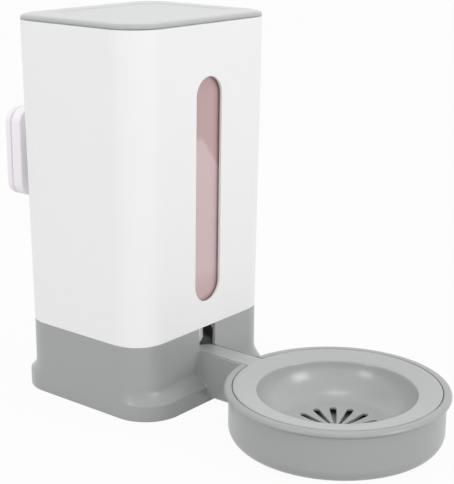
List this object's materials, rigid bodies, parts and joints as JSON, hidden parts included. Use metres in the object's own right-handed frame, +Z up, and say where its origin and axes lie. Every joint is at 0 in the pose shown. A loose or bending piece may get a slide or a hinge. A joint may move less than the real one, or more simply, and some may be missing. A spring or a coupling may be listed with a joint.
{
  "type": "hanging pet water dispenser",
  "caption": "Inverted water bottle in an upright tower that feeds a round drinking bowl through a channel arm, with a screw clamp on its back for hanging on cage wires.",
  "frame": {"origin": "centre of the tower's footprint, on the surface it stands on", "axes": "+Z up, -Y towards the bowl, +Y towards the cage clamp, +X to the right when seen from the bowl"},
  "size_m": [0.1442, 0.3318, 0.2584],
  "materials": {
    "grey_body": "satin moulded",
    "grey_insert": "satin moulded",
    "white_shell": "fine satin moulded",
    "grey_lid": "fine satin moulded",
    "pink_bottle": "translucent tinted",
    "white_cap": "satin moulded",
    "valve_plastic": "plain moulded",
    "silicone": "soft matt",
    "foot_rubber": "soft matt",
    "white_clamp": "satin moulded",
    "steel": "plain turned",
    "brass": "plain turned"
  },
  "bodies": {
    "tower": {"base_tray": "grey_body", "bowl_insert": "grey_insert", "outer_shell": "white_shell", "lid": "grey_lid", "water_bottle": "pink_bottle", "bottle_cap": "white_cap", "cap_gasket": "silicone", "valve_cage": "valve_plastic", "valve_spring": "steel", "shell_screws": "steel", "foot_pads": "foot_rubber", "mount_plate": "white_clamp", "clamp_bolt": "steel", "bolt_clip": "steel"},
    "valve": {"valve_plunger": "valve_plastic", "valve_seal": "silicone"},
    "clamp": {"clamp_plate": "white_clamp", "clamp_washer": "steel"},
    "knob": {"clamp_knob": "white_clamp", "knob_nut": "brass", "knob_cap": "white_clamp"}
  },
  "joints": [
    {"name": "valve_slide", "type": "slide", "parent": "tower", "child": "valve", "axis": [0, 0, 1], "range_m": [0, 0.0025], "stiffness_N_per_m": 80, "springref_m": -0.008, "deforming": ["valve_spring"]},
    {"name": "clamp_slide", "type": "slide", "parent": "tower", "child": "clamp", "axis": [0, 1, 0], "range_m": [0, 0.008]},
    {"name": "knob_spin", "type": "hinge", "parent": "clamp", "child": "knob", "pos_m": [0, 0.0811, 0.1615], "axis": [0, 1, 0], "range_deg": [0, 2880]}
  ],
  "couplings": [
    {"joint": "clamp_slide", "follows": "knob_spin", "m_per_rad": 0.00015915}
  ]
}
